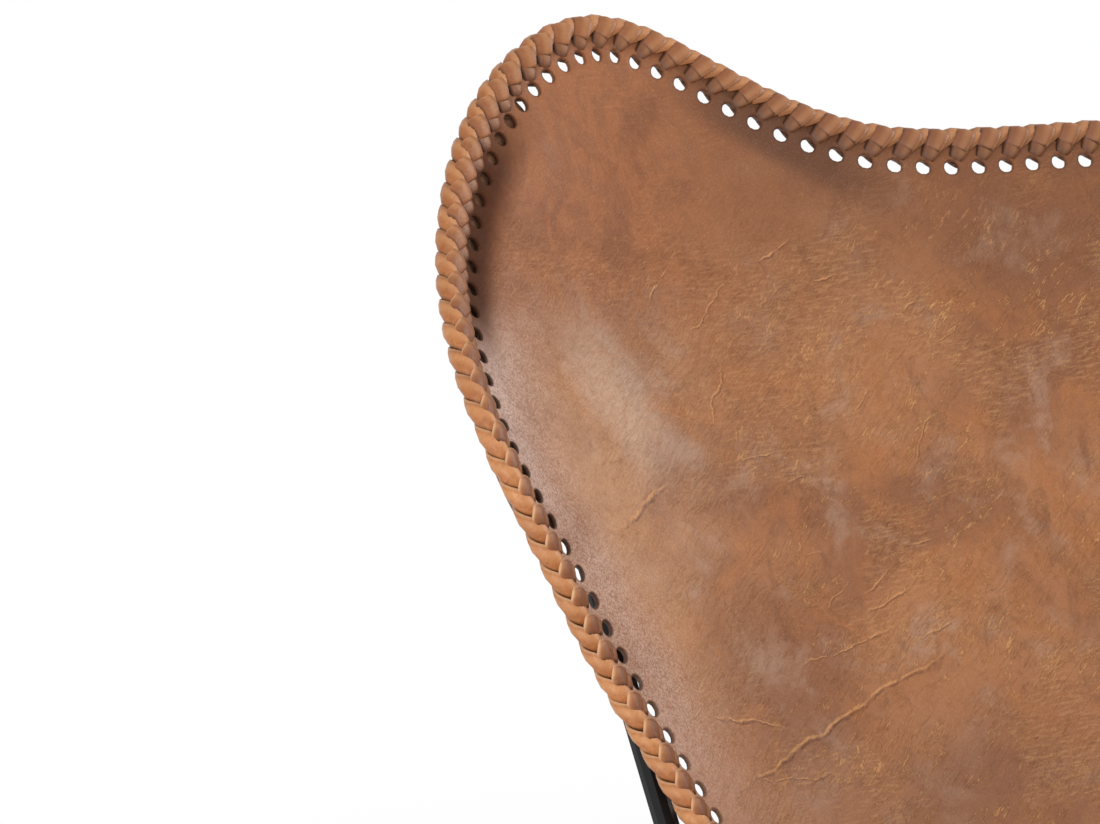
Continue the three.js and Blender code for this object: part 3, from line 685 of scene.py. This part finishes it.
def colour(red, green, blue):
    """Linear colour from the 0 to 255 values of a screen."""
    def linear(value):
        share = value / 255
        return share / 12.92 if share <= 0.04045 else ((share + 0.055) / 1.055) ** 2.4
    return (linear(red), linear(green), linear(blue), 1.0)


# Finishes

CREASE_RUN = math.radians(48)
RIPPLE_RUN = math.radians(8)
PORE_RUN = math.radians(50)
FOLD_HALF_WIDTH = 1.1
CRACK_HALF_WIDTH = 0.55
# Cracks in the wax of the left wing, each from end to end on the flat hide
CRACKS = [
    ((-241, 814), (-222, 858)), ((-147, 822), (-130, 844)), ((-116, 790), (-94, 827)),
    ((-107, 882), (-89, 896)), ((-229, 793), (-196, 802)), ((-197, 783), (-181, 787)),
    ((-266, 888), (-244, 920)), ((-246, 868), (-211, 908)), ((-156, 904), (-141, 909)),
    ((-191, 916), (-166, 936)), ((-90, 866), (-69, 880)), ((-185, 707), (-165, 729)),
    ((-159, 715), (-137, 736)), ((-217, 670), (-132, 703)), ((-132, 689), (-101, 701)),
    ((-193, 742), (-178, 743)), ((-130, 747), (-108, 749)), ((-162, 702), (-123, 725)),
    ((-289, 646), (-215, 640)), ((-263, 608), (-191, 613)),
]
# Crest of each back wing's bulge, painted with a pale highlight, on the mirrored flat hide
BULGE_HIGHLIGHT = ((268, 770), (326, 900))
BULGE_HIGHLIGHT_HALF_WIDTH = 34


def crease_line(finish, place, wander, start, end, half_width):
    """Relief of a crease on the flat hide: one on its pale crest, partly a painted highlight, minus one in
    the painted shadow line under it.
    """
    run = math.atan2(end[1] - start[1], end[0] - start[0])
    onward, off, _ = finish.parts(finish.turned(place, -run))
    cosine, sine = math.cos(run), math.sin(run)
    first, last = [(p[0] * cosine + p[1] * sine) * MM for p in (start, end)]
    fade = (last - first) / 3
    off = off - (start[1] * cosine - start[0] * sine) * MM + wander
    shown = onward.ramp(first, first + fade) * onward.ramp(last, last - fade)
    width = half_width * MM
    crest = abs(off).ramp(width, 0.3 * width)
    painted_shadow_below = abs(off + 1.8 * width).ramp(1.2 * width, 0.2 * width)
    return (crest - painted_shadow_below) * shown


class HideFinish(Finish):
    """Waxed tan leather: blotched; darker along the back's top edge, partly painted shade; rubbed pale inside
    the wings, partly a painted sheen; creased; with painted shadows and highlights along its rim, folds and
    cracks.

    Lengths are in metres: along and out are flat coordinates, out being the distance from the middle line,
    and rim is the distance from the cut edge.
    """

    def __init__(self):
        super().__init__("hide_leather")
        self.place = self.coordinates()
        across, self.along, _ = self.parts(self.place)
        self.out = abs(across)
        self.rim = self.attribute("rim_distance")
        self.cloud = self.noise(self.place, 6, 6, 0.6, 0.6)
        self.patch = self.noise(self.place, 21, 6, 0.65, 0.5)
        self.speck = self.noise(self.place, 160, 4, 0.7)
        self.streak = self.noise(self.scaled(self.place, (1, 0.6, 1)), 48, 5, 0.7, 1.0)
        self.wing = self.out.ramp(0.20, 0.36) * self.along.ramp(0.50, 0.66) * self.along.ramp(0.93, 0.82)
        self.upper = self.along.ramp(0.84, 0.92) * self.out.ramp(0.16, 0.26)

    def tones(self):
        """Blotches and streaks, with a darker top edge, partly painted shade, and a duller seat."""
        self.base = self.blend(self.cloud.ramp(0.38, 0.6), colour(136, 86, 54), colour(168, 112, 72))
        self.lay(self.patch.ramp(0.48, 0.66) * 0.8, colour(164, 103, 58))
        self.lay(self.patch.ramp(0.48, 0.32) * 0.55, colour(168, 134, 112))
        self.lay(self.streak.ramp(0.5, 0.7) * 0.5, colour(114, 70, 44))
        self.lay(self.speck.ramp(0.45, 0.75) * 0.3, colour(120, 74, 46))
        # Darker top edge: partly the leather's own tone and partly painted shade, where less light reaches
        # the top.
        self.lay(self.along.ramp(0.80, 1.0) * (0.45 + 0.5 * self.streak), colour(116, 70, 40))
        lower = self.along.ramp(0.70, 0.60) * self.out.ramp(0.34, 0.22)
        self.lay(lower * 0.45, colour(134, 92, 68))

    def wear_and_sheen(self):
        """The wings rubbed pale with a painted sheen in part, a painted highlight on the crest of their
        bulge, and warm and mottled at their tops.
        """
        # Paler wings: partly rubbed leather and partly painted sheen, lilac-pale near the rim.
        worn_and_sheen = self.wing * (0.45 + 0.9 * self.cloud.ramp(0.35, 0.65)) * self.speck.ramp(0.1, 0.6)
        worn_and_sheen_tone = self.blend(self.rim.ramp(0.035, 0.10), colour(200, 163, 144), colour(192, 146, 108))
        self.lay(worn_and_sheen * 0.8, worn_and_sheen_tone)
        mirrored = self.node("ShaderNodeVectorMath", {"operation": "ABSOLUTE"}, {0: self.place})
        wander = 0.05 * (self.patch - 0.5)
        bulge = crease_line(self, mirrored, wander, *BULGE_HIGHLIGHT, BULGE_HIGHLIGHT_HALF_WIDTH).largest(0.0)
        # Painted highlight: a pale sheen along the crest of each wing's bulge.
        self.lay(bulge * (0.06 + 0.4 * self.speck), colour(216, 194, 176))
        self.lay(self.upper * 0.4, colour(142, 80, 42))
        self.lay(self.upper * self.streak.ramp(0.44, 0.6) * 0.4, colour(172, 106, 60))
        self.lay(self.upper * self.patch.ramp(0.5, 0.62) * 0.4, colour(104, 60, 34))

    def creases(self):
        """Fine creases, ripples, folds and cracks, with painted highlights on the folds' crests and a painted
        shadow line under folds and cracks. Returns the heights of the creases and ripples.
        """
        place, along = self.place, self.along
        warped = self.warp(self.turned(place, -CREASE_RUN), 18, 0.014)
        long_lines = self.noise(self.scaled(warped, (15, 85, 1)), 1, 4, 0.6)
        hair_lines = self.noise(self.scaled(warped, (50, 330, 1)), 1, 3, 0.6)
        field = along.ramp(0.78, 0.83) * along.ramp(0.96, 0.90) * self.out.ramp(0.10, 0.17) * 0.8
        lined = self.noise(place, 14, 4, 0.6).ramp(0.43, 0.55).largest(field)
        haired = self.noise(place, 22, 4, 0.6).ramp(0.43, 0.57).largest(field)
        lines = abs(long_lines - 0.5).ramp(0.018, 0.0) * lined
        hairs = abs(hair_lines - 0.5).ramp(0.026, 0.0) * haired
        creased = (self.out.ramp(0.36, 0.14) * 0.8 + 0.2).largest(self.upper * 0.7)
        crease = lines.largest(hairs * 0.8) * creased * along.ramp(0.98, 0.88, 0.25, 1.0)
        ripple = self.noise(self.scaled(self.turned(place, -RIPPLE_RUN), (110, 560, 1)), 1, 3, 0.6)
        rippling = self.noise(place, 11, 3, 0.6).ramp(0.48, 0.6).largest(field)
        rippled = ripple.ramp(0.46, 0.62) * rippling * creased
        relief = self.marked(crease)
        self.lay(rippled * along.ramp(0.98, 0.9, 0.1, 0.3), colour(200, 148, 100))
        # Painted shadow: a dark line under each fold and crack.
        self.lay(relief.ramp(0.0, -1.0) * 0.6, colour(92, 54, 32))
        # Pale wax along the creases and cracks, and a painted highlight on each fold's lit crest.
        self.lay(relief.ramp(0.0, 1.0) * 0.65, colour(206, 148, 94))
        return crease, rippled

    def marked(self, relief):
        """A relief with the folds and cracks added, all of it broken up by noise."""
        wander = 0.018 * (self.noise(self.place, 36, 4, 0.5) - 0.5)
        marks = [(fold[0], fold[1], FOLD_HALF_WIDTH) for fold in FOLDS]
        marks += [(start, end, CRACK_HALF_WIDTH) for start, end in CRACKS]
        for mark in marks:
            relief = relief + crease_line(self, self.place, wander, *mark)
        return relief * self.noise(self.place, 110, 3, 0.6).ramp(0.36, 0.56, 0.3, 1.0)

    def shades(self):
        """Painted shadows and a painted highlight along the rim. Returns the wings' band of painted shadow,
        and that band together with all that is burnt dark.
        """
        rim, along, out = self.rim, self.along, self.out
        # Painted shadow: the hide darkened under the braid along the back's top edge.
        painted_dip_shadow = rim.ramp(0.075, 0.03) * along.ramp(0.88, 0.94) * out.ramp(0.08, 0.14) * out.ramp(0.25, 0.18)
        self.lay(painted_dip_shadow * 0.72, colour(78, 42, 20))
        # Painted highlight: a pale gleam near the wings' rim.
        gleam = rim.ramp(0.06, 0.02) * along.ramp(0.72, 0.79) * along.ramp(0.88, 0.83) * out.ramp(0.30, 0.37)
        self.lay(gleam * (0.1 + 0.5 * self.speck), colour(228, 208, 200))
        # Painted shadow: a dark band just inside the wings' braid, where the curled edge shades the hide; the
        # hole edges are burnt dark as well.
        band = rim.ramp(0.046, 0.024) * out.ramp(0.28, 0.36) * along.ramp(0.82, 0.88) * along.ramp(1.03, 0.96)
        burnt = self.attribute("hole_ring").ramp(0.1, 0.9) * out.ramp(0.26, 0.36, 0.4, 1.0)
        dark = band.largest(burnt)
        self.lay(dark * 0.88, colour(58, 25, 8))
        return band, dark

    def pebbles(self, dark):
        """Fine pebbled grain, strongest along the wings' rim. Returns its height."""
        pores = self.cells(self.scaled(self.turned(self.place, PORE_RUN), (680, 1000, 1)), 1)
        low_rim = self.along.ramp(0.80, 0.66) * self.rim.ramp(0.15, 0.05) * 0.55
        near_rim = self.rim.ramp(0.10, 0.035, 0.12, 0.55).largest(low_rim)
        pored = (0.12 + self.wing * near_rim) * (1 - dark)
        self.lay(pores.ramp(0.4, 0.8) * pored * 0.75, colour(122, 80, 60))
        self.lay(pores.ramp(0.4, 0.1) * pored * 0.7, colour(226, 198, 182))
        return (1 - pores) * pored


def hide_finish():
    finish = HideFinish()
    finish.tones()
    finish.wear_and_sheen()
    crease, rippled = finish.creases()
    band, dark = finish.shades()
    grain = finish.bump(finish.pebbles(dark), 0.8, 0.0012)
    grain = finish.bump(finish.patch, 0.25, 0.004, grain)
    grain = finish.bump(rippled, 0.35, 0.0005, grain)
    grain = finish.bump(crease, 0.6, 0.0012, grain)
    rough = 0.42 + 0.14 * finish.patch + 0.08 * finish.speck + 0.4 * band
    finish.set(Base_Color=finish.base, Roughness=rough, Normal=grain, Specular_IOR_Level=0.3)
    return finish.material


class LacingFinish(Finish):
    """Plaited strips: each has a pale cut edge on top, partly a painted highlight, a painted highlight along
    its ridge, a painted shadow on the side that tucks under, and a dark end in painted shade.
    """

    def __init__(self):
        super().__init__("lacing_leather")
        self.strip = self.coordinates()
        self.lengthwise, self.crosswise, _ = self.parts(self.strip)
        self.tone = self.coordinates(layer="tone")
        self.chance, kind, _ = self.parts(self.tone)
        self.diamond = kind.ramp(0.2, 0.8) * kind.ramp(1.8, 1.2)
        self.dive = kind.ramp(1.2, 1.8)
        self.place = self.spot()
        self.sideways, _, height = self.parts(self.place)
        self.high = height.ramp(0.76, 0.85)
        self.mottle = self.noise(self.place, 90, 5, 0.65, 0.5)

    def tones(self):
        """Orange tan, mottled, browner along the back's top edge, partly painted shade, and most of all in
        its middle.
        """
        mottle = self.mottle
        self.base = self.blend(self.chance * 0.5 + mottle * 0.5, colour(152, 88, 44), colour(192, 124, 70))
        self.lay(mottle.ramp(0.5, 0.72) * 0.5, colour(136, 76, 38))
        fine = self.noise(self.place, 330, 5, 0.7, 0.4)
        self.lay(fine.ramp(0.48, 0.66) * 0.5, colour(138, 76, 34))
        self.lay(fine.ramp(0.44, 0.3) * 0.3, colour(220, 164, 112))
        # Browner along the back's top edge: partly the lacing's tone and partly painted shade, where less
        # light reaches.
        self.lay(self.high * 0.4, colour(140, 80, 38))
        self.lay(self.high * abs(self.sideways).ramp(0.24, 0.10) * 0.45, colour(108, 60, 32))

    def strip_marks(self):
        """The painted highlight along each strip's ridge, the brown of the upper strips, the painted shade of
        the dives, the painted shadow lines where they tuck under, and the pale edges, partly painted
        highlight.
        """
        lengthwise, crosswise, diamond = self.lengthwise, self.crosswise, self.diamond
        # Painted highlight along the ridge of each strip.
        painted_crown_highlight = crosswise.ramp(-0.95, -0.45) * crosswise.ramp(0.3, -0.35)
        self.lay(painted_crown_highlight * 0.35, colour(218, 160, 108))
        self.lay(diamond * lengthwise.ramp(0.0, 0.4) * (0.85 - 0.5 * self.high), colour(112, 62, 32))
        # Darker brown of the dives, with painted shade deepening as each goes into its hole.
        self.lay(self.dive * (0.5 + 0.4 * lengthwise.ramp(0.3, 0.8)), colour(84, 48, 28))
        # Painted shadow: dark lines where strips tuck under the next one, and at the diamonds' inner ends.
        painted_tuck_shadow = crosswise.ramp(0.45, 0.95).largest(diamond * lengthwise.ramp(0.8, 0.97))
        self.lay(painted_tuck_shadow * 0.85, colour(58, 32, 18))
        # Pale cut edges and the diamonds' pale outer ends, partly painted highlight where light catches them;
        # less of it along the back's top.
        side_edge = crosswise.ramp(-0.75, -0.95) * 0.6 * (1 - self.dive)
        edge = side_edge.largest(diamond * lengthwise.ramp(0.18, 0.04))
        self.lay(edge * (0.6 - 0.4 * self.high), colour(228, 192, 154))

    def wrinkles(self):
        """Fine wrinkles across each strip, in another place on every strip."""
        shifted = {0: self.scaled(self.strip, (26, 2.5, 1)), 1: self.scaled(self.tone, (90, 40, 1))}
        return self.noise(self.node("ShaderNodeVectorMath", {"operation": "ADD"}, shifted), 1, 3, 0.6)


def lacing_finish():
    finish = LacingFinish()
    finish.tones()
    finish.strip_marks()
    grain = finish.bump(finish.noise(finish.place, 700, 4, 0.7), 0.35, 0.0008)
    grain = finish.bump(finish.wrinkles(), 0.4, 0.0008, grain)
    rough = 0.26 + 0.22 * finish.mottle
    finish.set(Base_Color=finish.base, Roughness=rough, Normal=grain, Specular_IOR_Level=0.4)
    return finish.material


def pocket_finish():
    """Flesh side of the leather: matt, with a soft nap."""
    finish = Finish("pocket_leather")
    place = finish.coordinates()
    nap = finish.noise(place, 60, 6, 0.65, 0.6)
    base = finish.blend(nap.ramp(0.35, 0.7), colour(112, 72, 46), colour(150, 104, 72))
    fibres = finish.noise(place, 1400, 3, 0.6)
    finish.set(Base_Color=base, Roughness=0.75 + 0.15 * nap, Normal=finish.bump(fibres, 0.35, 0.0006))
    return finish.material


def coat_finish():
    """Satin black powder coat with a slight orange peel."""
    finish = Finish("black_coat")
    spot = finish.spot()
    cloud = finish.noise(spot, 14, 4)
    base = finish.blend(cloud.ramp(0.35, 0.7), colour(8, 8, 10), colour(15, 15, 17))
    orange_peel = finish.noise(spot, 1100, 2)
    grain = finish.bump(orange_peel, 0.08, 0.0004)
    finish.set(Base_Color=base, Roughness=0.38 + 0.12 * cloud, Normal=grain, Specular_IOR_Level=0.28)
    return finish.material


def steel_finish(name, dark, light, metallic, rough):
    """Turned steel between two tones."""
    finish = Finish(name)
    spot = finish.spot()
    cloud = finish.noise(spot, 90, 4)
    base = finish.blend(cloud.ramp(0.3, 0.7), dark, light)
    turned = finish.noise(spot, 2400, 2)
    grain = finish.bump(turned, 0.06, 0.0003)
    finish.set(Base_Color=base, Roughness=rough + 0.14 * cloud, Metallic=metallic, Normal=grain)
    return finish.material


def glide_finish():
    """Matt black plastic, scuffed grey in places."""
    finish = Finish("black_plastic")
    spot = finish.spot()
    scuff = finish.noise(spot, 220, 5, 0.6)
    base = finish.blend(scuff.ramp(0.55, 0.75), colour(26, 26, 26), colour(58, 57, 55))
    texture = finish.noise(spot, 2600, 2)
    finish.set(Base_Color=base, Roughness=0.6 + 0.15 * scuff, Normal=finish.bump(texture, 0.15, 0.0003))
    return finish.material


def dress_frame():
    """Better finishes for the solids that stay: tubes, plugs, fasteners and glides."""
    finishes = {
        "black_coat": coat_finish(),
        "black_steel": steel_finish("black_steel", colour(26, 26, 28), colour(44, 44, 47), 0.85, 0.32),
        "plain_steel": steel_finish("plain_steel", colour(140, 141, 144), colour(176, 177, 180), 1.0, 0.3),
        "black_plastic": glide_finish(),
    }
    for subpart in frame["record"]["subparts"]:
        finish = finishes.get(subpart["material_slot"])
        if finish is None:
            continue
        for slot in frame["nodes"][subpart["node"]].material_slots:
            slot.material = finish


# Studio

CAMERA_AIM = (-0.3451, 0.198, 0.741)
CAMERA_EYE = (-0.9433, -2.2013, 1.5444)
CAMERA_LENS = 157.6
SENSOR_WIDTH = 36


def add_camera():
    camera = bpy.data.objects.new("camera", bpy.data.cameras.new("camera"))
    bpy.context.scene.collection.objects.link(camera)
    camera.location = CAMERA_EYE
    aim = Vector(CAMERA_AIM) - Vector(CAMERA_EYE)
    camera.rotation_euler = aim.to_track_quat("-Z", "Y").to_euler()
    camera.data.lens = CAMERA_LENS
    camera.data.sensor_width = SENSOR_WIDTH
    bpy.context.scene.camera = camera


# Name, place, aim, size in metres and power in watts of each lamp
LAMPS = [
    ("key", (-2.2, -2.6, 1.3), (-0.2, 0.1, 0.6), 1.8, 52),
    ("side", (2.5, 0.5, 1.5), (-0.2, 0.2, 0.7), 1.3, 36),
    ("top", (0.3, -0.6, 3.2), (0, 0, 0.5), 2.6, 12),
]


def add_lamp(name, place, aim, size, power):
    """A round soft lamp."""
    lamp = bpy.data.objects.new(name, bpy.data.lights.new(name, "AREA"))
    bpy.context.scene.collection.objects.link(lamp)
    lamp.location = place
    lamp.rotation_euler = (Vector(aim) - Vector(place)).to_track_quat("-Z", "Y").to_euler()
    lamp.data.shape = "DISK"
    lamp.data.size = size
    lamp.data.energy = power


def seen_rays(finish):
    """One for rays from the camera, a mirror or glass, and zero for rays that light the scene."""
    rays = finish.tree.nodes.new("ShaderNodeLightPath")
    kinds = [Socket(finish, rays.outputs[f"Is {kind} Ray"]) for kind in ("Camera", "Glossy", "Transmission")]
    return kinds[0].largest(kinds[1]).largest(kinds[2])


FLOOR_REACH = 20.0
FLOOR_FADE = (0.7, 1.5)
FLOOR_GREY = 0.82
WORLD_LIGHT = 0.75


def add_floor():
    """A pale floor that keeps the shadow near the chair and turns to plain white further out."""
    mesh = bpy.data.meshes.new("floor")
    corners = [(x * FLOOR_REACH, y * FLOOR_REACH, 0) for x, y in ((-1, -1), (1, -1), (1, 1), (-1, 1))]
    mesh.from_pydata(corners, [], [(0, 1, 2, 3)])
    floor = bpy.data.objects.new("floor", mesh)
    bpy.context.scene.collection.objects.link(floor)
    finish = Finish("floor")
    finish.set(Base_Color=(FLOOR_GREY, FLOOR_GREY, FLOOR_GREY, 1), Roughness=0.9)
    away = finish.node("ShaderNodeVectorMath", {"operation": "LENGTH"}, {0: finish.spot()}, output=1)
    white = finish.node("ShaderNodeEmission", {}, {"Color": (1, 1, 1, 1), "Strength": 1.0})
    plain = Socket(finish, finish.shader.outputs[0])
    share = away.ramp(*FLOOR_FADE) * seen_rays(finish)
    mixed = finish.node("ShaderNodeMixShader", {}, {0: share, 1: plain, 2: white})
    finish.feed(finish.tree.nodes["Material Output"].inputs["Surface"], mixed)
    mesh.materials.append(finish.material)


def add_world():
    """White for the camera, somewhat dimmer as a light."""
    world = bpy.data.worlds.new("studio")
    bpy.context.scene.world = world
    world.use_nodes = True
    tree = world.node_tree
    rays = tree.nodes.new("ShaderNodeLightPath")
    strength = tree.nodes.new("ShaderNodeMapRange")
    strength.inputs["To Min"].default_value = WORLD_LIGHT
    strength.inputs["To Max"].default_value = 1.0
    tree.links.new(rays.outputs["Is Camera Ray"], strength.inputs["Value"])
    background = tree.nodes["Background"]
    background.inputs["Color"].default_value = (1, 1, 1, 1)
    tree.links.new(strength.outputs[0], background.inputs["Strength"])


def main():
    bpy.context.scene.view_settings.view_transform = "Standard"
    add_camera()
    add_floor()
    add_world()
    for lamp in LAMPS:
        add_lamp(*lamp)
    dress_frame()
    hide = make_hide(hide_finish())
    lacing_leather = lacing_finish()
    lacings = [make_lacing(name, lacing_leather) for name in ("back", "left", "front", "right")]
    pocket_leather = pocket_finish()
    for depth in POCKETS:
        for hand in (1, -1):
            make_pocket(depth, hand, pocket_leather)


main()
